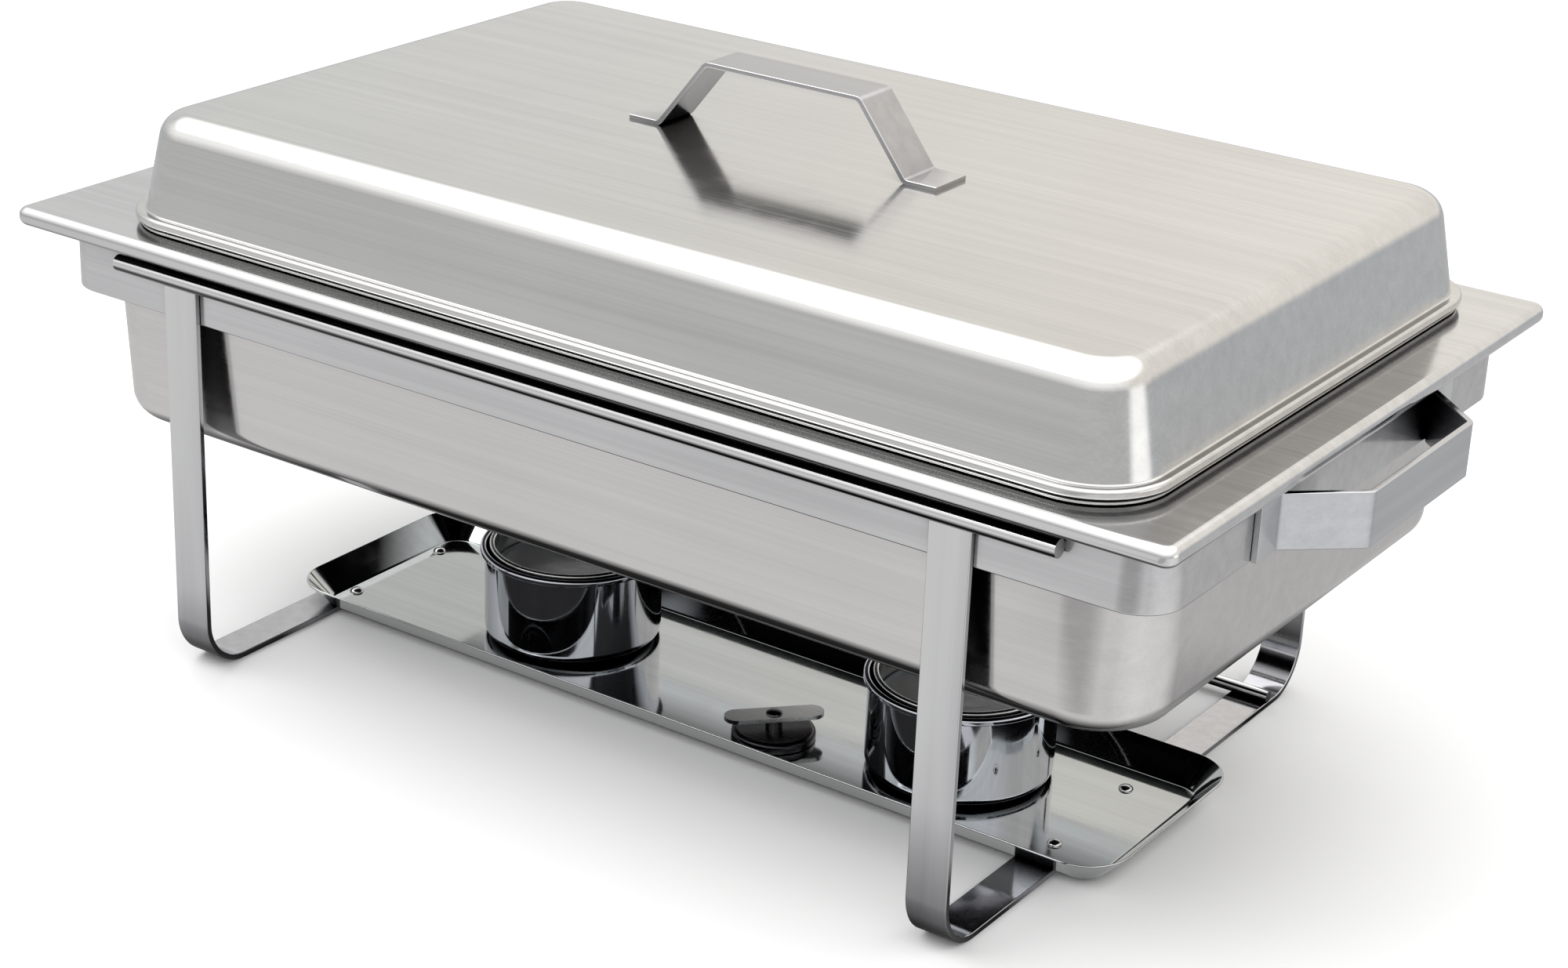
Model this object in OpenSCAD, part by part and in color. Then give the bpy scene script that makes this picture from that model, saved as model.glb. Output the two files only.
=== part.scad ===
// Chafing dish food warmer: a full-size rectangular buffet warmer in stainless steel.
// A frame of flat strap carries a water pan, a food pan and a lid over two fuel burners.
// Millimetres. X runs along the length, Y from front to back, Z up from the table.
// The origin is on the table, under the middle of the frame.

/* [Deck and pans] */
// Length of the top deck over its rolled edges
deck_l = 620; // [614:1:632]
// Width of the top deck over its rolled edges
deck_w = 362; // [360:1:370]
// Height of the deck's upper face above the table
deck_z = 220; // [212:1:240]
// Depth of the rolled edge of the deck
lip_h = 9; // [8.5:0.5:14]
// How far the well, the food pan and the lid sit to the right of the deck's middle
well_shift = 11; // [0:1:14]
// Depth of the water pan below the deck
water_depth = 106; // [90:1:106]
// Depth of the food pan below its own flange
food_depth = 65; // [40:1:65]
// Length of the food pan over its flange
food_l = 530; // [526:1:532]
// Width of the food pan over its flange
food_w = 325; // [322:1:326]

/* [Lid] */
// Length of the lid over its bead
lid_l = 546; // [545:1:552]
// Width of the lid over its bead
lid_w = 338; // [336:1:340]
// Height of the lid's top above the deck
lid_h = 53; // [46:1:80]
// Bending radius between the lid's top and its walls
lid_round = 13; // [8:1:22]
// Height of the lid handle above the lid's top
grip_h = 35.5; // [28:0.5:45]
// Length of the flat bar at the top of the lid handle
grip_l = 84; // [70:1:110]

/* [Frame] */
// Width of the flat strap used for the legs
leg_w = 20; // [18:1:26]
// Width of the flat strap used for the end handles
handle_w = 25; // [20:1:28]
// Thickness of both straps
strap_t = 3; // [2:0.5:3]
// Half the distance between the left and the right pair of legs
leg_x = 211; // [206:1:211]
// How far the legs sit to the left of the middle of the frame
leg_shift = 6; // [0:0.5:6]
// Outer bending radius where a leg turns into its floor runner
foot_r = 25; // [16:1:30]
// Height of the ring that carries the water pan
ring_h = 38; // [34:1:44]
// Overall length of the frame over both end handles
handle_span = 659; // [650:1:680]
// Length of the straight grip of an end handle
handle_grip = 98; // [80:1:120]

/* [Fuel shelf and burners] */
// Length of the flat bottom of the fuel shelf
shelf_l = 450; // [450:1:470]
// Width of the flat bottom of the fuel shelf
shelf_w = 103; // [100:1:120]
// How far the middle of the shelf sits in front of the middle of the frame
shelf_forward = 23.5; // [0:0.5:40]
// How far the middle of the shelf sits to the right of the middle of the frame
shelf_shift = 9; // [4:0.5:9]
// Height of the shelf's turned-up edges
shelf_h = 13; // [8:1:16]
// Outer diameter of a burner cup
cup_d = 93; // [90:1:94]
// Height of a burner cup
cup_h = 47; // [44:1:56]
// Distance between the middles of the two burners
burner_pitch = 229; // [200:1:232]

/* [Hidden] */

sheet_t = 1;
pan_t = 1.2;
gap = 0.2;
flange_bend_r = 2.5;
degrees_per_step = 6;

// Deck: corner radius of its outline, its rolled edge, corner radius of its opening
deck_half = [deck_l / 2, deck_w / 2];
deck_r = 6.5;
lip_r = 3.5;
lip_curl = 4;
opening_r = 34;
opening_margin = 4.5;

// Food pan: its flange hangs on the edge of the opening, and its wall steps in below the rim
food_r = 29.5;
food_flange = 13.5;
food_bottom_r = 14;
food_draft = 9;
food_rim_h = 14;
food_step_in = 2.5;
food_step_h = 3;
food_step_r = 2;
food_half = [food_l / 2 - food_flange, food_w / 2 - food_flange];
opening_half = food_half + [opening_margin, opening_margin];

// Lid: plan radius at the bead, and the profile's steps inward and upward from it
lid_r = 36;
lid_at = [lid_l / 2 - lid_r, lid_w / 2 - lid_r];
skirt_in = 2;
shoulder_in = 5;
draft_in = 9.5;
shoulder_z = deck_z + 6.5;
shoulder_rise = 0.5;
bead_h = 2.5;
bead_taper_h = 2;
shoulder_bend_r = 1.5;
bead_bend_r = 1.2;
skirt_bend_r = 2;

// Water pan: its body fills most of the length under the deck
water_r = 40;
water_half = deck_half - [20, 23];
water_flange = 10;
water_bottom_r = 12;
water_draft = 6;
water_at = water_half - [water_r, water_r];

// Ring: it stands under the water pan's flange, outside the pan's body
ring_t = 2;
ring_r = 20;
ring_half = deck_half - [12, 18];
ring_top = deck_z - 2 * pan_t;
ring_bottom = ring_top - ring_h;

// Rails: round rods welded along the long sides of the ring
rail_d = 8;
rail_z = deck_z - 19;
rail_half = 255;
rail_clear = 1;

// Legs: their tops are welded to the ring just under the rails
leg_top = rail_z - rail_d / 2 - rail_clear;
leg_y = ring_half.y + strap_t;

// End handles: welded to the ends of the ring, a little behind its middle
handle_z = ring_bottom + gap;
handle_foot = 18;
handle_spread = 26;
handle_back = 6;
handle_bend_r = 5;

// Rear tie rod: it lies on the two floor runners
tie_d = 6;
tie_clear = 8;
tie_y = leg_y - foot_r - tie_clear;

// Fuel shelf: a shallow tray riveted to the floor runners
shelf_z = strap_t;
shelf_r = 10;
shelf_flare = 12;
shelf_bend_r = 3;
shelf_at = [shelf_l / 2 - shelf_r, shelf_w / 2 - shelf_r];
shelf_rivet_y = 32.5;
shelf_rivet_x = leg_x - 3.5;
rivet_d = 4;
rivet_clear = 0.1;
rivet_head_d = 7;
rivet_head_h = 2;

// Burners: a cup on the shelf, a fuel can in the cup, gel in the can
burner_at = [17, -20];
cup_t = 1;
cup_bottom_r = 5;
cup_z = shelf_z + sheet_t + gap;
rim_w = 2.2;
rim_bend_r = 0.9;
can_clear = 4.5;
can_d = cup_d - 2 * can_clear;
can_h = cup_h;
can_t = 0.6;
can_bottom_r = 3;
can_z = cup_z + cup_t + gap;
gel_r = can_d / 2 - can_t - rim_w - gap;
gel_fill = 0.7;
gel_h = can_h * gel_fill;
gel_foot = 3.2;

// Snuffer: a small cap with a bar grip, lying on the shelf between the burners
snuffer_at = [48, -51];
snuffer_turn = 47;
snuffer_d = 40;
snuffer_h = 5;
snuffer_bend_r = 2;
snuffer_stand = 5;
snuffer_bar_l = 48;
snuffer_bar_w = 12;
snuffer_bar_t = 2;
snuffer_pin_d = 5;
snuffer_pin_head = 8;
snuffer_head_h = 1.5;

// Lid handle
grip_strap_w = 25;
grip_strap_t = 2.5;
grip_lean = 26;
grip_foot = 17;
grip_bend_r = 4;

// ---------- Paths and sheets ----------

function unit(v) = v / norm(v);
function left_of(v) = [-v.y, v.x];
function reversed(list) = [for (i = [len(list) - 1 : -1 : 0]) list[i]];

// The arc of radius r that rounds the corner b of the path a, b, c
function corner_arc(a, b, c, r) =
    let (u = unit(a - b), v = unit(c - b))
    let (half = acos(u * v) / 2)
    let (centre = b + unit(u + v) * r / sin(half))
    let (start = b + u * r / tan(half) - centre)
    let (sweep = (180 - 2 * half) * sign(left_of(b - a) * (c - b)))
    let (first = atan2(start.y, start.x))
    let (steps = ceil(abs(sweep) / degrees_per_step))
    [for (i = [0 : steps])
        centre + r * [cos(first + sweep * i / steps), sin(first + sweep * i / steps)]];

// A path with its inner corners rounded to the radii in r
function bent(path, r) = concat(
    [path[0]],
    [for (i = [1 : len(path) - 2]) each corner_arc(path[i - 1], path[i], path[i + 1], r[i - 1])],
    [path[len(path) - 1]]);

// The path moved sideways by d, to its left when d is positive
function beside(path, d) =
    let (last = len(path) - 1)
    [for (i = [0 : last])
        let (before = unit(path[max(i, 1)] - path[max(i, 1) - 1]))
        let (after = unit(path[min(i, last - 1) + 1] - path[min(i, last - 1)]))
        let (n = unit(left_of(before) + left_of(after)))
        path[i] + n * d / (n * left_of(before))];

// A bent sheet of thickness t seen end on
module bent_sheet(path, r, t) {
    line = bent(path, r);
    polygon(concat(beside(line, t / 2), reversed(beside(line, -t / 2))));
}

// Carries an outline round a rectangle whose corner centres are at +-at.x, +-at.y.
// The outline's x is the distance outward from the corner centres.
module around(at)
    for (k = [0 : 3]) {
        side = k % 2 == 0 ? at.y : at.x;
        reach = k % 2 == 0 ? at.x : at.y;
        rotate([0, 0, 90 * k]) {
            translate([reach, side, 0])
                rotate_extrude(angle = 90) children();
            translate([reach, side, 0])
                rotate([90, 0, 0]) linear_extrude(2 * side) children();
        }
    }

// A pressed pan or cover: a flat middle plate and its walls. z is the plate's lower face.
module pressed(at, path, r, t, z) {
    around(at) bent_sheet(path, r, t);
    translate([-at.x, -at.y, z])
        cube([2 * at.x, 2 * at.y, t]);
}

module rounded_rectangle(half, r) {
    square([2 * half.x, 2 * (half.y - r)], center = true);
    square([2 * (half.x - r), 2 * half.y], center = true);
    for (sx = [-1, 1], sy = [-1, 1])
        translate([sx * (half.x - r), sy * (half.y - r)]) circle(r, $fn = 64);
}

// ---------- Frame ----------

module support_ring()
    color("silver") around(ring_half - [ring_r, ring_r])
        translate([ring_r - ring_t, ring_bottom]) square([ring_t, ring_h]);

module rail(side)
    color("gainsboro")
        translate([-rail_half, side * (ring_half.y + rail_d / 2), rail_z])
            rotate([0, 90, 0]) cylinder(d = rail_d, h = 2 * rail_half, $fn = 32);

// One loop of strap: front leg, floor runner and back leg
module leg(side)
    color("silver") difference() {
        translate([side * leg_x - leg_shift - leg_w / 2, 0, 0])
            rotate([90, 0, 90]) linear_extrude(leg_w) leg_outline();
        shelf_rivet_places() rivet_hole();
    }

module leg_outline() {
    mid = leg_y - strap_t / 2;
    low = strap_t / 2;
    bend = foot_r - low;
    bent_sheet([[-mid, leg_top], [-mid, low], [mid, low], [mid, leg_top]], [bend, bend], strap_t);
}

// An end handle: a strap bent out from two feet on the end of the ring
module handle(side)
    color("silver") mirror([side < 0 ? 1 : 0, 0, 0])
        translate([0, handle_back, handle_z]) linear_extrude(handle_w) handle_outline();

module handle_outline() {
    inner = ring_half.x + strap_t / 2;
    outer = (handle_span - strap_t) / 2;
    straight = handle_grip / 2;
    root = straight + handle_spread;
    r = handle_bend_r;
    bent_sheet([
        [inner, root + handle_foot], [inner, root], [outer, straight],
        [outer, -straight], [inner, -root], [inner, -root - handle_foot]], [r, r, r, r], strap_t);
}

// It holds the two floor runners apart at the back
module rear_tie_rod() {
    half = leg_x + leg_w / 2;
    color("silver") translate([-leg_shift - half, tie_y, strap_t + tie_d / 2])
        rotate([0, 90, 0]) cylinder(d = tie_d, h = 2 * half, $fn = 32);
}

// ---------- Fuel shelf ----------

module fuel_shelf() {
    mid = shelf_z + sheet_t / 2;
    color("lightgray") difference() {
        translate([shelf_shift, -shelf_forward, 0])
            pressed(shelf_at, [[0, mid], [shelf_r, mid], [shelf_r + shelf_flare, shelf_z + shelf_h]],
                [shelf_bend_r], sheet_t, shelf_z);
        shelf_rivet_places() rivet_hole();
    }
}

module shelf_rivet_places()
    for (sx = [-1, 1], sy = [-1, 1])
        translate([sx * shelf_rivet_x - leg_shift / 2, sy * shelf_rivet_y - shelf_forward, 0])
            children();

module rivet_hole()
    cylinder(d = rivet_d + rivet_clear, h = 3 * (strap_t + sheet_t), center = true, $fn = 32);

module shelf_rivets()
    color("whitesmoke") shelf_rivet_places() {
        top = shelf_z + sheet_t;
        cylinder(d = rivet_d, h = top, $fn = 32);
        translate([0, 0, top]) rotate_extrude($fn = 48) dome(rivet_head_d / 2, rivet_head_h);
    }

// Half the outline of a domed head, turned about the Z axis
module dome(r, h)
    polygon(concat([[0, 0]], [for (a = [0 : degrees_per_step : 90]) [r * cos(a), h * sin(a)]]));

// ---------- Deck and pans ----------

module top_deck() {
    at = deck_half - [deck_r, deck_r];
    mid = deck_z - pan_t / 2;
    edge = deck_r - pan_t / 2;
    low = deck_z - lip_h + pan_t / 2;
    color("gainsboro") {
        around(at)
            bent_sheet([[0, mid], [edge, mid], [edge, low], [edge - lip_curl, low]], [lip_r, lip_r], pan_t);
        translate([0, 0, deck_z - pan_t]) linear_extrude(pan_t) difference() {
            square(2 * at, center = true);
            translate([well_shift, 0]) rounded_rectangle(opening_half, opening_r);
        }
    }
}

// The tub that holds the hot water; its flange lies on the ring
module water_pan() {
    bottom = deck_z - water_depth;
    low = bottom + pan_t / 2;
    high = ring_top + pan_t / 2;
    color("lightgray") pressed(water_at,
        [[0, low], [water_r - water_draft, low], [water_r - pan_t / 2, high],
            [water_r + water_flange, high]],
        [water_bottom_r, flange_bend_r], pan_t, bottom);
}

// The food pan steps in below its rim so that such pans can be stacked
module food_pan() {
    top = deck_z + gap + sheet_t / 2;
    low = top - food_depth + sheet_t;
    step_z = top - food_rim_h;
    wall = food_r - sheet_t / 2;
    color("silver") translate([well_shift, 0, 0])
        pressed(food_half - [food_r, food_r],
            [[0, low], [wall - food_draft, low], [wall - food_step_in, step_z - food_step_h],
                [wall, step_z], [wall, top], [food_r + food_flange, top]],
            [food_bottom_r, food_step_r, food_step_r, flange_bend_r], sheet_t, low - sheet_t / 2);
}

// ---------- Lid ----------

// A drawn cover: flat top, steep walls, a shoulder, a rolled bead and a short skirt
module lid_shell() {
    top = deck_z + lid_h - sheet_t / 2;
    bead = lid_r - sheet_t / 2;
    skirt = bead - skirt_in;
    wall = bead - shoulder_in;
    taper_z = shoulder_z - bead_h;
    color("gainsboro") translate([well_shift, 0, 0])
        pressed(lid_at,
            [[0, top], [wall - draft_in, top], [wall, shoulder_z], [bead, shoulder_z + shoulder_rise],
                [bead, taper_z], [skirt, taper_z - bead_taper_h], [skirt, deck_z + 2 * gap]],
            [lid_round, shoulder_bend_r, bead_bend_r, bead_bend_r, skirt_bend_r],
            sheet_t, top - sheet_t / 2);
}

// A flat strap bent into a bridge
module lid_handle()
    color("gainsboro") translate([well_shift, grip_strap_w / 2, deck_z + lid_h])
        rotate([90, 0, 0]) linear_extrude(grip_strap_w) grip_outline();

module grip_outline() {
    low = grip_strap_t / 2;
    high = grip_h - low;
    bar = grip_l / 2;
    base = bar + grip_lean;
    tip = base + grip_foot;
    r = grip_bend_r;
    bent_sheet([[-tip, low], [-base, low], [-bar, high], [bar, high], [base, low], [tip, low]],
        [r, r, r, r], grip_strap_t);
}

// ---------- Burners and snuffer ----------

module burner_place(side, z)
    translate([burner_at.x + side * burner_pitch / 2, burner_at.y, z]) children();

// A round cup or can, open at the top, with its rim turned outward and down
module round_cup(d, h, t, bottom_r) {
    edge = (d - t) / 2;
    wall = edge - rim_w;
    top = h - t / 2;
    rotate_extrude($fn = 128)
        bent_sheet([[0, t / 2], [wall, t / 2], [wall, top], [edge, top], [edge, top - rim_w]],
            [bottom_r, rim_bend_r, rim_bend_r], t);
}

module burner_cup(side)
    color("lightslategray") burner_place(side, cup_z) round_cup(cup_d, cup_h, cup_t, cup_bottom_r);

module fuel_can(side)
    color("silver") burner_place(side, can_z) round_cup(can_d, can_h, can_t, can_bottom_r);

module fuel_gel(side)
    color("lightpink") burner_place(side, can_z + can_t)
        rotate_extrude($fn = 128)
            polygon([[0, 0], [gel_r - gel_foot, 0], [gel_r, gel_foot], [gel_r, gel_h], [0, gel_h]]);

module snuffer_place(z)
    translate([snuffer_at.x, snuffer_at.y, cup_z + z]) rotate([0, 0, snuffer_turn]) children();

module snuffer_lid() {
    mid = snuffer_h - sheet_t / 2;
    edge = (snuffer_d - sheet_t) / 2;
    color("dimgray") snuffer_place(0) rotate_extrude($fn = 96)
        bent_sheet([[snuffer_pin_d / 2, mid], [edge, mid], [edge, 0]], [snuffer_bend_r], sheet_t);
}

module snuffer_bar() {
    middle = snuffer_bar_l - snuffer_bar_w;
    color("dimgray") snuffer_place(snuffer_h + snuffer_stand)
        linear_extrude(snuffer_bar_t) difference() {
            union() {
                square([middle, snuffer_bar_w], center = true);
                for (sx = [-1, 1])
                    translate([sx * middle / 2, 0]) circle(d = snuffer_bar_w, $fn = 48);
            }
            circle(d = snuffer_pin_d, $fn = 32);
        }
}

// A shouldered pin: thick between the cap and the bar, thin where it passes through them
module snuffer_rivet()
    color("gray") snuffer_place(0) {
        pin_h = snuffer_h + snuffer_stand + snuffer_bar_t;
        translate([0, 0, snuffer_h - sheet_t])
            cylinder(d = snuffer_pin_d, h = pin_h - snuffer_h + sheet_t, $fn = 32);
        translate([0, 0, snuffer_h]) cylinder(d = snuffer_pin_head, h = snuffer_stand, $fn = 32);
        translate([0, 0, pin_h]) rotate_extrude($fn = 48) dome(snuffer_pin_head / 2, snuffer_head_h);
    }

support_ring();
rail(-1);  // rail_front
rail(1);  // rail_back
leg(-1);  // leg_left
leg(1);  // leg_right
handle(-1);  // handle_left
handle(1);  // handle_right
rear_tie_rod();
fuel_shelf();
shelf_rivets();
top_deck();
water_pan();
food_pan();
lid_shell();
lid_handle();
burner_cup(-1);  // burner_cup_left
burner_cup(1);  // burner_cup_right
fuel_can(-1);  // fuel_can_left
fuel_can(1);  // fuel_can_right
fuel_gel(-1);  // fuel_gel_left
fuel_gel(1);  // fuel_gel_right
snuffer_lid();
snuffer_bar();
snuffer_rivet();
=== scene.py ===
"""Looks of a chafing dish food warmer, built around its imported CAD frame. Everything is in metres."""
import math

import bmesh
import bpy
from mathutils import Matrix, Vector


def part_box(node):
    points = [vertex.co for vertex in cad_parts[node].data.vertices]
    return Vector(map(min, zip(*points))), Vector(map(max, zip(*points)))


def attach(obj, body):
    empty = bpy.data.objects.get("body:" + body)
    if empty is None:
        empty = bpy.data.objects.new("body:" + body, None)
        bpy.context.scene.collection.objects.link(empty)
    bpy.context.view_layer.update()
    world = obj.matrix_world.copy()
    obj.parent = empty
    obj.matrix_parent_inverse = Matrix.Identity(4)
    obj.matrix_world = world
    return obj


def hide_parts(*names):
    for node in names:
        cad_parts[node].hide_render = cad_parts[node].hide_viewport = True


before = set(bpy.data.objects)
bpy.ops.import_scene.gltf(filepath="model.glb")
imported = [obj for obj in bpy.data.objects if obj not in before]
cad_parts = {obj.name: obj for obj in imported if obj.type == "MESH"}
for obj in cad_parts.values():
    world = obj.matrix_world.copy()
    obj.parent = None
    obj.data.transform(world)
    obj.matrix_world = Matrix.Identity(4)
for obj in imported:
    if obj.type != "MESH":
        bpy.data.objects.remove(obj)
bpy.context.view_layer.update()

MM = 0.001
SHEET = 1.0 * MM
HEAVY_SHEET = 1.2 * MM
STRAP = 3.0 * MM
STRAP_EASE = 0.5 * MM
FLANGE_BEND_R = 2.5 * MM
FOOD_FLANGE = 13.5 * MM
# Where the profile of a pressed piece starts beside its flat middle, and that of a turned one beside its axis
PRESS_START = 0.5 * MM
HUB = 0.4 * MM
# The longest step of a bend, in degrees, and the distance under which points of a mesh merge
ARC_STEP = 5.0
MERGE = 0.002 * MM


# ---------- Paths ----------

def v2(x, y):
    return Vector((x, y))


def heading(angle):
    """The unit vector at an angle from the first axis."""
    return v2(math.cos(angle), math.sin(angle))


def corner_arc(a, b, c, r):
    """Points of the arc of radius r that rounds corner b of the path a, b, c."""
    to_a, to_c = (a - b).normalized(), (c - b).normalized()
    half = to_a.angle(to_c) / 2
    centre = b + (to_a + to_c).normalized() * (r / math.sin(half))
    start = b + to_a * (r / math.tan(half)) - centre
    turn = math.pi - 2 * half
    side = 1 if (b - a).cross(c - b) > 0 else -1
    steps = max(3, math.ceil(math.degrees(turn) / ARC_STEP))
    first = math.atan2(start.y, start.x)
    angles = [first + side * turn * i / steps for i in range(steps + 1)]
    return [centre + r * heading(angle) for angle in angles]


def bent(path, radii):
    """The path with its inner corners rounded."""
    points = [v2(*p) for p in path]
    line = [points[0]]
    for i, r in enumerate(radii, 1):
        line += corner_arc(points[i - 1], points[i], points[i + 1], r)
    return line + [points[-1]]


def side_of(line, i):
    """The leftward direction at point i of a line, lengthened so that offsets stay parallel."""
    last = len(line) - 1
    before = (line[max(i, 1)] - line[max(i, 1) - 1]).normalized()
    after = (line[min(i, last - 1) + 1] - line[min(i, last - 1)]).normalized()
    left_before, left_after = v2(-before.y, before.x), v2(-after.y, after.x)
    middle = (left_before + left_after).normalized()
    return middle / middle.dot(left_before)


def beside(line, d):
    """The line moved to its left by d."""
    return [p + side_of(line, i) * d for i, p in enumerate(line)]


def round_edge(line, t, steps=5):
    """The half circle round the far cut edge of a sheet of thickness t, from its left face to its right."""
    forward = (line[-1] - line[-2]).normalized()
    left = v2(-forward.y, forward.x)
    angles = [math.pi * i / steps for i in range(1, steps)]
    return [line[-1] + (left * math.cos(angle) + forward * math.sin(angle)) * (t / 2) for angle in angles]


def sheet(line, t):
    """A sheet of thickness t seen end on: along its left face, round its edge and back along its right."""
    return beside(line, t / 2) + round_edge(line, t) + beside(line, -t / 2)[::-1]


def closed_sheet(line, t):
    """The same, with both of its edges rounded."""
    return sheet(line, t) + round_edge(line[::-1], t)


def rounded_box_outline(width, height, r, steps=3):
    """A rectangle with rounded corners, centred on the origin."""
    points = []
    for k, (sx, sy) in enumerate([(1, 1), (-1, 1), (-1, -1), (1, -1)]):
        centre = v2(sx * (width / 2 - r), sy * (height / 2 - r))
        points += [centre + r * heading(math.pi / 2 * (k + i / steps)) for i in range(steps + 1)]
    return points


def plan(at, x, corner_steps=14, side_steps=10):
    """Points round a rectangle with corner centres at +-at, a distance x outside them."""
    corners = [(1, 1), (-1, 1), (-1, -1), (1, -1)]
    points = []
    for k, (sx, sy) in enumerate(corners):
        centre = v2(sx * at.x, sy * at.y)
        angles = [math.pi / 2 * (k + i / corner_steps) for i in range(corner_steps + 1)]
        points += [centre + x * heading(angle) for angle in angles]
        next_sx, next_sy = corners[(k + 1) % 4]
        start = points[-1]
        following = v2(next_sx * at.x, next_sy * at.y) + x * heading(math.pi / 2 * (k + 1))
        points += [start.lerp(following, i / side_steps) for i in range(1, side_steps)]
    return points


# ---------- Meshes ----------

def finish_mesh(piece, body, slot, material, *nodes):
    """Smooths a new piece, gives it its material and lets it ride in place of its CAD nodes."""
    piece.data.materials.append(material)
    for polygon in piece.data.polygons:
        polygon.use_smooth = True
    normals = piece.modifiers.new("even_normals", "WEIGHTED_NORMAL")
    normals.weight = 100
    normals.keep_sharp = True
    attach(piece, body)
    if nodes:
        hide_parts(*nodes)
    return piece


def loft(name, rings, joined=False):
    """A closed mesh over rings that have the same number of points. Its ends are capped unless joined."""
    n = len(rings[0])
    faces = []
    for i in range(len(rings) if joined else len(rings) - 1):
        a, b = i * n, (i + 1) % len(rings) * n
        for j in range(n):
            k = (j + 1) % n
            faces.append((a + j, a + k, b + k, b + j))
    if not joined:
        faces.append(tuple(range(n))[::-1])
        faces.append(tuple(range((len(rings) - 1) * n, len(rings) * n)))
    mesh = bpy.data.meshes.new(name)
    mesh.from_pydata([p for ring in rings for p in ring], [], faces)
    merged = bmesh.new()
    merged.from_mesh(mesh)
    bmesh.ops.remove_doubles(merged, verts=merged.verts, dist=MERGE)
    bmesh.ops.recalc_face_normals(merged, faces=merged.faces)
    merged.to_mesh(mesh)
    merged.free()
    piece = bpy.data.objects.new(name, mesh)
    bpy.context.scene.collection.objects.link(piece)
    return piece


def level(centre, at, x, z, share=1.0, crown=0.0):
    """One closed ring of a pressed shape. share draws it in to the middle, and crown lifts its middle."""
    ring = []
    for p in plan(at, x):
        q = p * share
        rise = crown * max(0.0, 1 - (q.x / (at.x + x)) ** 2) * max(0.0, 1 - (q.y / (at.y + x)) ** 2)
        ring.append(Vector((centre.x + q.x, centre.y + q.y, z + rise)))
    return ring


def pressed(name, centre, at, line, t, crown=0.0):
    """A pressed cover or pan. The line runs outward from the edge of its flat middle."""
    outline = sheet(line, t)
    # How far out from the middle the rings of the flat part lie
    shares = [0.02, 0.2, 0.4, 0.6, 0.8, 0.93]
    first, last = outline[0], outline[-1]
    rings = [level(centre, at, first.x, first.y, s, crown) for s in shares]
    rings += [level(centre, at, p.x, p.y) for p in outline]
    rings += [level(centre, at, last.x, last.y, s, crown) for s in shares[::-1]]
    return loft(name, rings)


def hoop(name, centre, at, outline):
    """A closed outline carried round a rounded rectangle."""
    return loft(name, [level(centre, at, p.x, p.y) for p in outline], joined=True)


def turned(name, x, y, outline, steps=96, joined=False):
    """An outline of (radius, height) turned about an upright axis."""
    spokes = [heading(2 * math.pi * i / steps) for i in range(steps)]
    rings = [[Vector((x + p.x * s.x, y + p.x * s.y, p.y)) for s in spokes] for p in outline]
    return loft(name, rings, joined)


def strap(name, line, width, t, place):
    """A flat strap bent along a line. place maps (along, up, across) to the row frame."""
    def ring(i, section, shift=0.0):
        forward = (line[min(i + 1, len(line) - 1)] - line[max(i - 1, 0)]).normalized()
        base = line[i] + forward * shift
        return [place(*(base + side_of(line, i) * q.y), q.x) for q in section]

    ease = STRAP_EASE
    full = rounded_box_outline(width, t, ease)
    small = rounded_box_outline(width - ease, t - ease, ease / 2)
    last = len(line) - 1
    rings = [ring(0, small), ring(0, full, ease / 2)]
    rings += [ring(i, full) for i in range(1, last)]
    rings += [ring(last, full, -ease / 2), ring(last, small)]
    return loft(name, rings)


# ---------- Materials ----------

class Nodes:
    """A short way to build a material's node tree."""

    def __init__(self, tree):
        self.tree = tree

    def add(self, kind, inputs=None, **settings):
        node = self.tree.nodes.new(kind)
        for key, value in settings.items():
            setattr(node, key, value)
        for key, value in (inputs or {}).items():
            if isinstance(value, bpy.types.NodeSocket):
                self.tree.links.new(value, node.inputs[key])
            else:
                node.inputs[key].default_value = value
        return node

    def noise(self, vector, scale, detail=2.0, rough=0.5):
        inputs = {"Vector": self.product(vector, scale), "Scale": 1.0, "Detail": detail, "Roughness": rough}
        return self.add("ShaderNodeTexNoise", inputs).outputs["Fac"]

    def remap(self, value, low, high, start=0.0, end=1.0):
        """Low where value is at start, high where it is at end, and in proportion between them."""
        node = self.add("ShaderNodeMapRange",
                        {"Value": value, "From Min": start, "From Max": end, "To Min": low, "To Max": high})
        return node.outputs["Result"]

    def math(self, operation, a, b):
        return self.add("ShaderNodeMath", {0: a, 1: b}, operation=operation).outputs[0]

    def product(self, vector, factors):
        return self.add("ShaderNodeVectorMath", {0: vector, 1: factors}, operation="MULTIPLY").outputs[0]

    def length(self, vector):
        return self.add("ShaderNodeVectorMath", {0: vector}, operation="LENGTH").outputs["Value"]

    def axis(self, vector, letter):
        return self.add("ShaderNodeSeparateXYZ", {0: vector}).outputs[letter]

    def place(self):
        return self.add("ShaderNodeTexCoord").outputs["Object"]

    def camera_ray(self):
        return self.add("ShaderNodeLightPath").outputs["Is Camera Ray"]

    def mix(self, share, a, b):
        factor, first, second, colour = 0, 6, 7, 2
        node = self.add("ShaderNodeMix", {factor: share, first: a, second: b}, data_type="RGBA")
        return node.outputs[colour]

    def mix_shader(self, share, a, b):
        return self.add("ShaderNodeMixShader", {0: share, 1: a, 2: b}).outputs[0]

    def link(self, node, inputs):
        for key, socket in inputs.items():
            self.tree.links.new(socket, node.inputs[key])


def rgb(r, g, b):
    return (r, g, b, 1.0)


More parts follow.
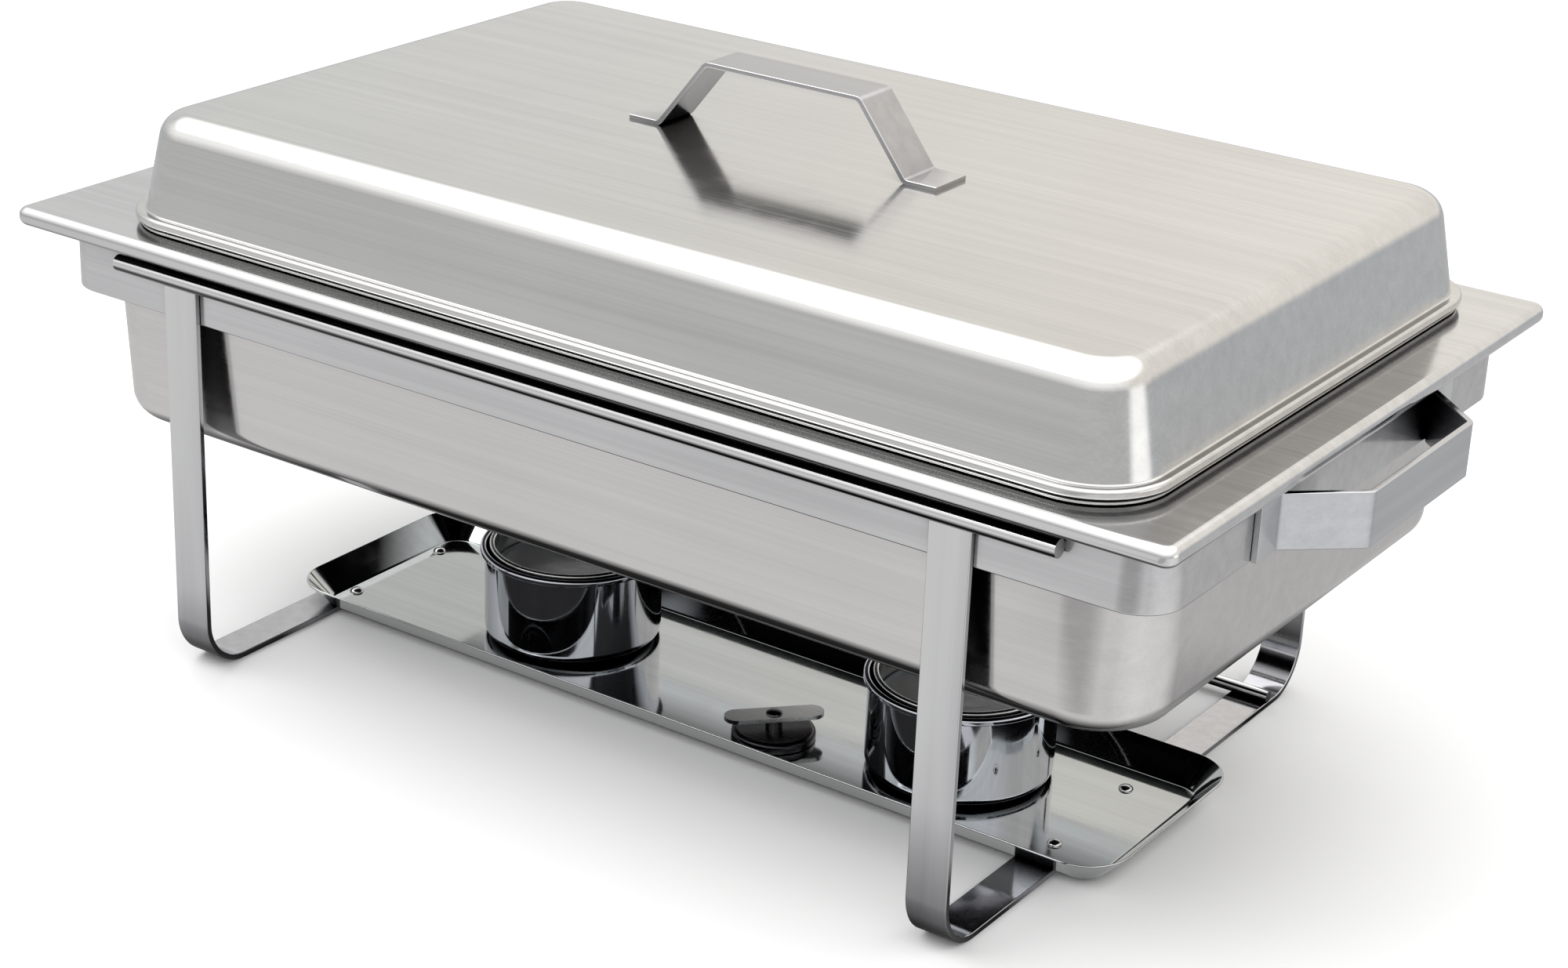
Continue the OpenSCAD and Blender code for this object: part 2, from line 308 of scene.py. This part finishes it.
def new_material(name):
    material = bpy.data.materials.new(name)
    material.use_nodes = True
    material.node_tree.nodes.clear()
    nodes = Nodes(material.node_tree)
    shader = nodes.add("ShaderNodeBsdfPrincipled")
    nodes.add("ShaderNodeOutputMaterial", {"Surface": shader.outputs[0]})
    return material, nodes, shader


# Noise scales along X, Y and Z for lines that run along an axis, and for steel without a direction
GRAIN = {"X": (5, 900, 900), "Y": (900, 5, 900), "Z": (900, 900, 5), None: (240, 240, 240)}
STREAK = {"X": (2, 150, 150), "Y": (150, 2, 150), "Z": (150, 150, 2), None: (30, 30, 30)}
CLOUD = (9, 9, 9)
SMUDGE = (38, 38, 38)
# The range that noise values fill, and the range of pointiness over which an edge turns bright, as wear and as
# a painted highlight
NOISE = (0.3, 0.7)
WEAR_AND_HIGHLIGHT = (0.52, 0.60)
# The reach of the painted shade in crevices, and the colour of all painted shade on the steel
CREVICE_SHADE_REACH = 30 * MM
PAINTED_SHADE_TONE = (0.012, 0.012, 0.014)
# How far a face's normal points up or down where it counts as upright, and as flat underneath
UPRIGHT = (0.25, 0.55)
UNDERSIDE = (-0.99, -0.95)
# Where the painted glow on the strip at the back of an underside begins and ends
BACK_STRIP = (90 * MM, 130 * MM)


def steel_colour(nodes, tint, brushed, grain, spread, fine):
    """The tint of the steel with its streaks, clouds and fine lines, brighter along edges, as wear and as a
    painted highlight.
    """
    streak = nodes.noise(nodes.place(), STREAK[brushed], 3.0)
    cloud = nodes.noise(nodes.place(), CLOUD, 2.0)
    tone = nodes.math("ADD", nodes.remap(streak, -spread, spread, *NOISE),
                      nodes.remap(cloud, 1 - spread / 2, 1 + spread / 2, *NOISE))
    tone = nodes.math("ADD", tone, nodes.remap(fine, -0.06 * grain, 0.06 * grain, *NOISE))
    plain = nodes.add("ShaderNodeVectorMath", {0: tint[:3], 3: tone}, operation="SCALE").outputs[0]
    # Convex edges are painted bright, partly as wear and partly as a painted highlight
    wear_and_highlight = nodes.remap(nodes.add("ShaderNodeNewGeometry").outputs["Pointiness"], 0.0, 0.5, *WEAR_AND_HIGHLIGHT)
    return nodes.mix(wear_and_highlight, plain, rgb(0.85, 0.85, 0.84))


def painted_shade_share(nodes, facing, mirrored, shade, down, under, wall):
    """Painted shade: one in the open, less in crevices, on faces that look down and on upright ones in mirror
    images.
    """
    nearby = nodes.add("ShaderNodeAmbientOcclusion", {"Distance": CREVICE_SHADE_REACH}, samples=6).outputs["AO"]
    steep = nodes.math("ABSOLUTE", facing, 0.0)
    wall_shade = nodes.math("MULTIPLY", nodes.remap(steep, 1 - wall, 0.0, *UPRIGHT), mirrored)
    lit = nodes.math("MULTIPLY", nodes.remap(nearby, 0.0, 1.0, *shade),
                     nodes.remap(facing, under, 1.0, *down))
    return nodes.math("MULTIPLY", lit, nodes.remap(wall_shade, 1.0, 0.0))


def painted_underside_glow(nodes, facing, mirrored, strength):
    """A painted glow on the back of a flat underside, seen only in mirror images, in place of light from the
    floor.
    """
    strip = nodes.remap(nodes.axis(nodes.place(), "Y"), 0.0, strength, *BACK_STRIP)
    back = nodes.math("MULTIPLY", nodes.remap(facing, 1.0, 0.0, *UNDERSIDE), strip)
    return nodes.math("MULTIPLY", back, mirrored)


def steel(name, tint, rough, brushed, grain, shade, spread=0.06, down=(-0.80, -0.35), under=0.0, glow=0.0,
          wall=1.0):
    """Stainless steel.

    brushed is the axis of its polishing lines, grain their strength and spread the unevenness of its tone.
    shade is how much of a point's surroundings is open where the painted shade of a crevice is full, and where
    it ends. Faces get painted shade, down to under, as they turn down over the range of down. wall is how
    bright upright faces stay in mirror images under painted shade, and glow is the strength of a painted glow
    on the back of a flat underside, seen only in mirror images.
    """
    material, nodes, shader = new_material(name)
    fine = nodes.noise(nodes.place(), GRAIN[brushed], 3.0)
    smudge = nodes.noise(nodes.place(), SMUDGE, 4.0, 0.65)
    facing = nodes.axis(nodes.add("ShaderNodeNewGeometry").outputs["Normal"], "Z")
    mirrored = nodes.remap(nodes.camera_ray(), 1.0, 0.0)
    lit = painted_shade_share(nodes, facing, mirrored, shade, down, under, wall)
    # The tint is painted darker toward the painted shade tone in crevices, on faces that look down and on
    # upright faces in mirror images
    colour = nodes.mix(lit, rgb(*PAINTED_SHADE_TONE), steel_colour(nodes, tint, brushed, grain, spread, fine))
    roughness = nodes.math("ADD", nodes.remap(fine, rough * 0.82, rough * 1.18, *NOISE),
                           nodes.remap(smudge, 0.0, 0.07, 0.48, 0.75))
    bump = nodes.add("ShaderNodeBump", {"Strength": 0.25 * grain, "Distance": 0.03 * MM, "Height": fine})
    nodes.link(shader, {"Base Color": colour, "Roughness": roughness, "Normal": bump.outputs[0]})
    shader.inputs["Metallic"].default_value = 1.0
    # A painted glow on the back of flat undersides, seen only in mirror images
    if glow:
        nodes.link(shader, {"Emission Strength": painted_underside_glow(nodes, facing, mirrored, glow)})
        shader.inputs["Emission Color"].default_value = rgb(1, 1, 1)
    if brushed:
        shader.inputs["Anisotropic"].default_value = 0.55
        shader.inputs["Anisotropic Rotation"].default_value = 0.25
        around = nodes.add("ShaderNodeTangent", direction_type="RADIAL", axis=brushed)
        nodes.link(shader, {"Tangent": around.outputs[0]})
    return material


def gel(name):
    material, nodes, shader = new_material(name)
    cloud = nodes.noise(nodes.place(), (60, 60, 60), 3.0)
    ripple = nodes.noise(nodes.place(), (160, 160, 160), 2.0)
    colour = nodes.mix(cloud, rgb(0.66, 0.64, 0.66), rgb(0.80, 0.78, 0.79))
    bump = nodes.add("ShaderNodeBump", {"Strength": 0.3, "Distance": 0.4 * MM, "Height": ripple})
    nodes.link(shader, {"Base Color": colour, "Normal": bump.outputs[0]})
    shader.inputs["Roughness"].default_value = 0.12
    shader.inputs["Subsurface Weight"].default_value = 0.3
    return material


# Steel whose painted crevice shade falls only deep in crevices, and steel where it falls sooner
OPEN, SNUG = (0.0, 0.42), (0.14, 0.60)
lid_steel = steel("lid_brushed", rgb(0.65, 0.645, 0.63), 0.13, "X", grain=0.5, spread=0.05, shade=OPEN,
                  wall=0.4)
grip_steel = steel("grip_polished", rgb(0.45, 0.45, 0.46), 0.10, "X", grain=0.3, shade=(0.1, 0.95))
deck_steel = steel("deck_brushed", rgb(0.66, 0.66, 0.66), 0.12, "X", grain=0.5, shade=OPEN)
# The tub's underside carries a painted glow, seen only in mirror images
well_steel = steel("well_drawn", rgb(0.66, 0.645, 0.64), 0.11, "X", grain=0.4, spread=0.04, shade=SNUG,
                   glow=0.8)
pan_steel = steel("pan_drawn", rgb(0.66, 0.66, 0.66), 0.16, "X", grain=0.5, shade=OPEN)
ring_steel = steel("ring_sheet", rgb(0.60, 0.60, 0.61), 0.14, "X", grain=0.5, shade=(0.2, 0.75))
rod_steel = steel("rod_polished", rgb(0.60, 0.60, 0.61), 0.10, None, grain=0.2, shade=SNUG, down=(-0.35, 0.0))
leg_steel = steel("leg_strap", rgb(0.50, 0.50, 0.52), 0.10, "Z", grain=0.5, shade=SNUG)
handle_steel = steel("handle_strap", rgb(0.55, 0.56, 0.58), 0.12, "Y", grain=0.5, shade=SNUG)
shelf_steel = steel("shelf_mirror", rgb(0.46, 0.48, 0.48), 0.06, "X", grain=0.25, shade=OPEN, under=1.0)
burner_steel = steel("burner_mirror", rgb(0.56, 0.57, 0.61), 0.05, "Z", grain=0.3, shade=OPEN)
can_tin = steel("can_tin", rgb(0.60, 0.60, 0.59), 0.20, "Z", grain=0.5, shade=SNUG)
dark_steel = steel("snuffer_dark", rgb(0.035, 0.033, 0.037), 0.26, "X", grain=0.6, shade=OPEN)
rivet_steel = steel("rivet_polished", rgb(0.55, 0.55, 0.55), 0.15, None, grain=0.3, shade=OPEN)
fuel_gel = gel("fuel_gel")


# ---------- Frame ----------

def half_and_middle(node):
    low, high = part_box(node)
    return (high - low) / 2, (high + low) / 2


def build_ring():
    half, middle = half_and_middle("support_ring")
    thickness, corner_r = 2 * MM, 20 * MM
    at = v2(half.x - corner_r, half.y - corner_r)
    wall = corner_r - thickness / 2
    bottom, top = middle.z - half.z + thickness / 2, middle.z + half.z - thickness / 2
    outline = closed_sheet([v2(wall, bottom), v2(wall, middle.z), v2(wall, top)], thickness)
    finish_mesh(hoop("ring_band", middle, at, outline), "frame", "frame_steel", ring_steel, "support_ring")


def build_leg(side):
    node = "leg_" + side
    half, middle = half_and_middle(node)
    foot_r = 25 * MM
    y, low, top = half.y - STRAP / 2, STRAP / 2, middle.z + half.z
    line = bent([(-y, top), (-y, low), (y, low), (y, top)], [foot_r - STRAP / 2] * 2)
    piece = strap(node + "_strap", line, 2 * half.x, STRAP, lambda a, b, w: Vector((middle.x + w, a, b)))
    finish_mesh(piece, "frame", "strap_steel", leg_steel, node)


def build_end_handle(side):
    node = "handle_" + side
    half, middle = half_and_middle(node)
    foot_l, slope_l, bend_r = 18 * MM, 26 * MM, 5 * MM
    out = 1 if side == "right" else -1
    inner, outer = middle.x - out * (half.x - STRAP / 2), middle.x + out * (half.x - STRAP / 2)
    tip, root, grip = half.y, half.y - foot_l, half.y - foot_l - slope_l
    path = [(inner, tip), (inner, root), (outer, grip), (outer, -grip), (inner, -root), (inner, -tip)]
    line = bent(path, [bend_r] * 4)
    place = lambda a, b, w: Vector((a, middle.y + b, middle.z + w))
    piece = strap(node + "_strap", line, 2 * half.z, STRAP, place)
    finish_mesh(piece, "frame", "strap_steel", handle_steel, node)


def build_shelf():
    half, middle = half_and_middle("fuel_shelf")
    flare, corner_r, bend_r = 12.4 * MM, 10 * MM, 3 * MM
    at = v2(half.x - flare - corner_r, half.y - flare - corner_r)
    low, high = middle.z - half.z + SHEET / 2, middle.z + half.z - SHEET / 2
    line = bent([(PRESS_START, low), (corner_r, low), (corner_r + flare - SHEET / 2, high)], [bend_r])
    piece = pressed("shelf_tray", middle, at, line, SHEET)
    finish_mesh(piece, "frame", "shelf_steel", shelf_steel, "fuel_shelf")


# ---------- Deck, pans and lid ----------

def build_deck():
    """The opening is off the deck's middle, so the rings of the flat part blend its shape into the outline."""
    half, middle = half_and_middle("top_deck")
    pan_half, pan_middle = half_and_middle("food_pan")
    t, corner_r, lip_r, lip_curl = HEAVY_SHEET, 6.5 * MM, 3.5 * MM, 4 * MM
    opening_r, opening_margin = 34 * MM, 4.5 * MM
    top, bottom = middle.z + half.z, middle.z - half.z
    mid = top - t / 2
    at = v2(half.x - corner_r, half.y - corner_r)
    inset = FOOD_FLANGE - opening_margin + opening_r
    opening_at = pan_half.xy - v2(inset, inset)

    def inner(x, z):
        return level(pan_middle, opening_at, x, z)

    edge, low = corner_r - t / 2, bottom + t / 2
    line = bent([(PRESS_START, mid), (edge, mid), (edge, low), (edge - lip_curl, low)], [lip_r, lip_r])
    outline = sheet(line, t)
    hole = round_edge([v2(opening_r + t, mid), v2(opening_r + t / 2, mid)], t)
    upper, lower = level(middle, at, outline[0].x, top), level(middle, at, outline[0].x, top - t)
    # How far from the opening to the lip the rings of the flat part lie
    shares = [0.0, 0.05, 0.3, 0.6, 0.9]
    near_top, near_low = inner(opening_r + t / 2, top), inner(opening_r + t / 2, top - t)
    rings = [[a.lerp(b, s) for a, b in zip(near_top, upper)] for s in shares]
    rings += [level(middle, at, p.x, p.y) for p in outline]
    rings += [[a.lerp(b, s) for a, b in zip(near_low, lower)] for s in shares[::-1]]
    rings += [inner(p.x, p.y) for p in hole]
    finish_mesh(loft("deck_plate", rings, joined=True), "well", "deck_steel", deck_steel, "top_deck")


def build_water_pan():
    half, middle = half_and_middle("water_pan")
    t, flange, corner_r, draft, bottom_r = HEAVY_SHEET, 10 * MM, 40 * MM, 6 * MM, 12 * MM
    at = v2(half.x - flange - corner_r, half.y - flange - corner_r)
    low, high = middle.z - half.z + t / 2, middle.z + half.z - t / 2
    path = [(PRESS_START, low), (corner_r - draft, low), (corner_r - t / 2, high), (corner_r + flange, high)]
    line = bent(path, [bottom_r, FLANGE_BEND_R])
    finish_mesh(pressed("well_tub", middle, at, line, t), "well", "well_steel", well_steel, "water_pan")


def build_food_pan():
    half, middle = half_and_middle("food_pan")
    corner_r, draft, bottom_r, rim_h = 29.5 * MM, 9 * MM, 14 * MM, 14 * MM
    step_in, step_h, step_r = 2.5 * MM, 3 * MM, 2 * MM
    at = v2(half.x - FOOD_FLANGE - corner_r, half.y - FOOD_FLANGE - corner_r)
    low, high = middle.z - half.z + SHEET / 2, middle.z + half.z - SHEET / 2
    wall, step = corner_r - SHEET / 2, high - rim_h
    path = [(PRESS_START, low), (wall - draft, low), (wall - step_in, step - step_h), (wall, step),
            (wall, high), (corner_r + FOOD_FLANGE, high)]
    line = bent(path, [bottom_r, step_r, step_r, FLANGE_BEND_R])
    finish_mesh(pressed("food_tray", middle, at, line, SHEET), "pan", "pan_steel", pan_steel, "food_pan")


def build_lid():
    half, middle = half_and_middle("lid_shell")
    corner_r, lid_round, crown = 36 * MM, 13 * MM, 0.5 * MM
    skirt_in, shoulder_in, draft_in = 2 * MM, 5 * MM, 9.5 * MM
    shoulder_h, shoulder_rise, bead_h, bead_taper_h = 6.1 * MM, 0.5 * MM, 2.5 * MM, 2 * MM
    shoulder_bend_r, bead_bend_r, skirt_bend_r = 1.5 * MM, 1.2 * MM, 2 * MM
    at = v2(half.x - corner_r, half.y - corner_r)
    top, bottom = middle.z + half.z - SHEET / 2, middle.z - half.z
    bead, shoulder = corner_r - SHEET / 2, bottom + shoulder_h
    skirt, wall = bead - skirt_in, bead - shoulder_in
    bead_low = shoulder - bead_h
    path = [(PRESS_START, top), (wall - draft_in, top), (wall, shoulder), (bead, shoulder + shoulder_rise),
            (bead, bead_low), (skirt, bead_low - bead_taper_h), (skirt, bottom + SHEET / 2)]
    line = bent(path, [lid_round, shoulder_bend_r, bead_bend_r, bead_bend_r, skirt_bend_r])
    piece = pressed("lid_cover", middle, at, line, SHEET, crown)
    finish_mesh(piece, "lid", "lid_steel", lid_steel, "lid_shell")


def build_grip():
    half, middle = half_and_middle("lid_handle")
    t, foot_l, slope_l, bend_r = 2.5 * MM, 17 * MM, 26 * MM, 4 * MM
    low, high = middle.z - half.z + t / 2, middle.z + half.z - t / 2
    tip, base, bar = half.x, half.x - foot_l, half.x - foot_l - slope_l
    path = [(-tip, low), (-base, low), (-bar, high), (bar, high), (base, low), (tip, low)]
    line = bent(path, [bend_r] * 4)
    place = lambda a, b, w: Vector((middle.x + a, middle.y + w, b))
    finish_mesh(strap("lid_grip", line, 2 * half.y, t, place), "lid", "grip_steel", grip_steel, "lid_handle")


# ---------- Burners and snuffer ----------

def cup_outline(radius, low, high, t, bottom_r):
    """An open cup with its rim turned outward and down, as a closed outline that starts near the axis."""
    rim, rim_bend_r = 2.2 * MM, 0.9 * MM
    edge = radius - t / 2
    wall, top = edge - rim, high - t / 2
    path = [(HUB, low + t / 2), (wall, low + t / 2), (wall, top), (edge, top), (edge, top - rim)]
    return sheet(bent(path, [bottom_r, rim_bend_r, rim_bend_r]), t)


def build_cup(node, body, slot, material, t, bottom_r):
    half, middle = half_and_middle(node)
    outline = cup_outline(half.x, middle.z - half.z, middle.z + half.z, t, bottom_r)
    piece = turned(node + "_shell", middle.x, middle.y, outline, 128)
    finish_mesh(piece, body, slot, material, node)


def build_gel(node, body):
    """The fuel in a can: chamfered at the bottom, and drawn up a little at the can's wall."""
    half, middle = half_and_middle(node)
    edge, low, high = half.x, middle.z - half.z, middle.z + half.z
    chamfer, rim_w, rim_h = 3.2 * MM, 0.3 * MM, 1 * MM
    dip_w, dip_h, middle_dip, steps = 3 * MM, 1.2 * MM, 1.5 * MM, 4
    outline = [v2(HUB, low), v2(edge - chamfer, low), v2(edge, low + chamfer)]
    outline += [v2(edge, high - rim_h), v2(edge - rim_w, high)]
    for i in range(1, steps + 1):
        dip = dip_h * math.sin(math.pi / 2 * i / steps)
        outline.append(v2(edge - dip_w * i / steps, high - dip))
    outline.append(v2(HUB, high - middle_dip))
    piece = turned(node + "_fill", middle.x, middle.y, outline)
    finish_mesh(piece, body, "fuel_gel", fuel_gel, node)


def build_burner(side):
    cup_t, cup_bottom_r = 1.0 * MM, 5 * MM
    can_t, can_bottom_r = 0.6 * MM, 3 * MM
    fuel = "fuel_" + side
    build_cup("burner_cup_" + side, "burner_" + side, "burner_steel", burner_steel, cup_t, cup_bottom_r)
    build_cup("fuel_can_" + side, fuel, "can_tin", can_tin, can_t, can_bottom_r)
    build_gel("fuel_gel_" + side, fuel)


def build_snuffer():
    half, middle = half_and_middle("snuffer_lid")
    pin_hole_r, bend_r = 2.5 * MM, 2 * MM
    edge, top, low = half.x - SHEET / 2, middle.z + half.z - SHEET / 2, middle.z - half.z + SHEET / 2
    line = bent([(pin_hole_r, top), (edge, top), (edge, low)], [bend_r])
    piece = turned("snuffer_cap", middle.x, middle.y, closed_sheet(line, SHEET), joined=True)
    finish_mesh(piece, "snuffer", "snuffer_steel", dark_steel, "snuffer_lid")


def dress_cad_nodes():
    """The CAD nodes whose own shape is right get their finish here."""
    finishes = {"rail_front": rod_steel, "rail_back": rod_steel, "rear_tie_rod": rod_steel,
                "shelf_rivets": rivet_steel, "snuffer_rivet": dark_steel, "snuffer_bar": dark_steel}
    for node, material in finishes.items():
        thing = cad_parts[node]
        thing.data.materials.clear()
        thing.data.materials.append(material)


build_ring()
for side in ("left", "right"):
    build_leg(side)
    build_end_handle(side)
    build_burner(side)
build_shelf()
build_deck()
build_water_pan()
build_food_pan()
build_lid()
build_grip()
build_snuffer()
dress_cad_nodes()


# ---------- Studio ----------

def patch(nodes, toward, x, y, wide, narrow):
    """One in the horizontal direction (x, y), fading to nothing to its sides."""
    along = nodes.add("ShaderNodeVectorMath", {0: toward, 1: (x, y, 0.0)}, operation="DOT_PRODUCT")
    return nodes.remap(along.outputs["Value"], 0.0, 1.0, wide, narrow)


def level_direction(nodes, vector):
    level_part = nodes.product(vector, (1.0, 1.0, 0.0))
    return nodes.add("ShaderNodeVectorMath", {0: level_part}, operation="NORMALIZE").outputs[0]


def painted_floor_glow(nodes):
    """The floor as the steel sees it, a painted glow: painted shadow under the object, mid grey behind it,
    pale in front of it.
    """
    place = nodes.place()
    toward = level_direction(nodes, place)
    front = nodes.remap(nodes.axis(toward, "Y"), 0.78, 0.58, -0.5, 0.3)
    # A painted pale patch to the right and a painted dark patch to the front right, for highlights and shade
    # in the steel
    pale_right = nodes.math("MULTIPLY", patch(nodes, toward, 0.99, -0.14, 0.90, 0.985), 0.20)
    outward = nodes.remap(nodes.length(place), 0.0, 0.28, 0.38, 0.46)
    dark_front = nodes.math("MULTIPLY", patch(nodes, toward, 0.50, -0.87, 0.95, 0.995), outward)
    tone = nodes.math("SUBTRACT", nodes.math("ADD", front, pale_right), dark_front)
    # The length of the object counts for less than its width, so that the painted shadow follows its plan
    from_object = nodes.length(nodes.product(place, (0.62, 1.0, 0.0)))
    from_long_axis = nodes.math("ABSOLUTE", nodes.axis(place, "Y"), 0.0)
    # Painted shadow near the object, lifted in a strip along its long axis under the shelf
    away = nodes.remap(from_object, 0.04, 1.0, 0.19, 0.29)
    under_shelf = nodes.remap(from_long_axis, 0.45, 0.0, 0.09, 0.115)
    return nodes.math("MULTIPLY", tone, nodes.math("MAXIMUM", away, under_shelf))


def build_floor():
    """A pale floor that fades into the backdrop away from the object."""
    bpy.ops.mesh.primitive_circle_add(vertices=96, radius=6.0, fill_type="NGON")
    floor = bpy.context.object
    floor.name = "studio_floor"
    material, nodes, shader = new_material("floor_pale")
    mottle = nodes.noise(nodes.place(), (3, 3, 3), 3.0)
    nodes.link(shader, {"Base Color": nodes.mix(mottle, rgb(0.86, 0.86, 0.86), rgb(0.89, 0.89, 0.89))})
    shader.inputs["Roughness"].default_value = 0.7
    shader.inputs["Specular IOR Level"].default_value = 0.2
    far = nodes.length(nodes.place())
    clear = nodes.add("ShaderNodeBsdfTransparent").outputs[0]
    faded = nodes.mix_shader(nodes.remap(far, 0.0, 1.0, 1.2, 3.5), shader.outputs[0], clear)
    # Glossy rays see the painted floor glow instead, with its painted shadow and patches
    glow = nodes.add("ShaderNodeEmission", {"Color": rgb(1, 1, 1), "Strength": painted_floor_glow(nodes)})
    mirrored = nodes.mix_shader(nodes.remap(far, 0.0, 1.0, 1.1, 2.0), glow.outputs[0], clear)
    output = next(n for n in material.node_tree.nodes if n.type == "OUTPUT_MATERIAL")
    nodes.link(output, {"Surface": nodes.mix_shader(nodes.camera_ray(), mirrored, faded)})
    floor.data.materials.append(material)


def build_world():
    """A bright ceiling over a greyer front and back; the camera sees a plain white backdrop."""
    world = bpy.data.worlds.new("studio")
    bpy.context.scene.world = world
    world.use_nodes = True
    world.node_tree.nodes.clear()
    nodes = Nodes(world.node_tree)
    ray = nodes.add("ShaderNodeTexCoord").outputs["Generated"]
    split = nodes.add("ShaderNodeSeparateXYZ", {0: ray})
    x, y, z = (split.outputs[k] for k in ("X", "Y", "Z"))
    far_back = nodes.mix(nodes.remap(x, 0.0, 1.0, -0.70, -0.38), rgb(0.76, 0.77, 0.76), rgb(1.04, 0.99, 0.93))
    back = nodes.mix(nodes.remap(z, 0.0, 1.0, -0.02, 0.18), rgb(0.57, 0.59, 0.62), far_back)
    front = nodes.mix(nodes.remap(z, 0.0, 1.0, 0.10, 0.45), rgb(0.64, 0.64, 0.65), rgb(1.3, 1.3, 1.3))
    low = nodes.mix(nodes.remap(y, 0.0, 1.0, -0.3, 0.2), front, back)
    pale_right = nodes.math("MULTIPLY", patch(nodes, level_direction(nodes, ray), 0.97, 0.24, 0.93, 0.98),
                            nodes.remap(z, 1.0, 0.0, 0.05, 0.3))
    walls = nodes.mix(pale_right, low, rgb(1.5, 1.5, 1.5))
    tone = nodes.mix(nodes.remap(z, 0.0, 1.0, 0.52, 0.64), walls, rgb(1.75, 1.75, 1.75))
    room = nodes.add("ShaderNodeBackground", {"Color": tone, "Strength": 1.0}).outputs[0]
    backdrop = nodes.add("ShaderNodeBackground", {"Color": rgb(1, 1, 1), "Strength": 1.0}).outputs[0]
    nodes.add("ShaderNodeOutputWorld", {"Surface": nodes.mix_shader(nodes.camera_ray(), room, backdrop)})


def soft_light(name, place, aim, width, height, power):
    data = bpy.data.lights.new(name, "AREA")
    data.shape = "RECTANGLE"
    data.size, data.size_y, data.energy = width, height, power
    lamp = bpy.data.objects.new(name, data)
    bpy.context.scene.collection.objects.link(lamp)
    lamp.location = place
    lamp.rotation_mode = "QUATERNION"
    lamp.rotation_quaternion = (Vector(aim) - Vector(place)).to_track_quat("-Z", "Y")


def build_camera():
    """The viewing angle of the reference: front right, a little above, with a slight roll."""
    azimuth, elevation, roll = math.radians(33.99), math.radians(22.98), math.radians(2.41)
    distance = 1.4705
    aim = Vector((0.0136, 0.0, 0.1072))
    away = Vector((math.sin(azimuth) * math.cos(elevation), -math.cos(azimuth) * math.cos(elevation),
                   math.sin(elevation)))
    data = bpy.data.cameras.new("camera")
    data.lens = 70.7
    data.sensor_width = 36.0
    camera = bpy.data.objects.new("camera", data)
    bpy.context.scene.collection.objects.link(camera)
    camera.location = aim + away * distance
    turn = (-away).to_track_quat("-Z", "Y").to_matrix()
    right, up = turn.col[0].copy(), turn.col[1].copy()
    turn.col[0] = right * math.cos(roll) + up * math.sin(roll)
    turn.col[1] = up * math.cos(roll) - right * math.sin(roll)
    camera.rotation_mode = "QUATERNION"
    camera.rotation_quaternion = turn.to_quaternion()
    bpy.context.scene.camera = camera


build_floor()
build_world()
soft_light("key_front_left", place=(-0.9, -1.0, 1.9), aim=(0, 0, 0.2), width=1.6, height=1.2, power=14)
build_camera()
bpy.context.scene.view_settings.view_transform = "Standard"
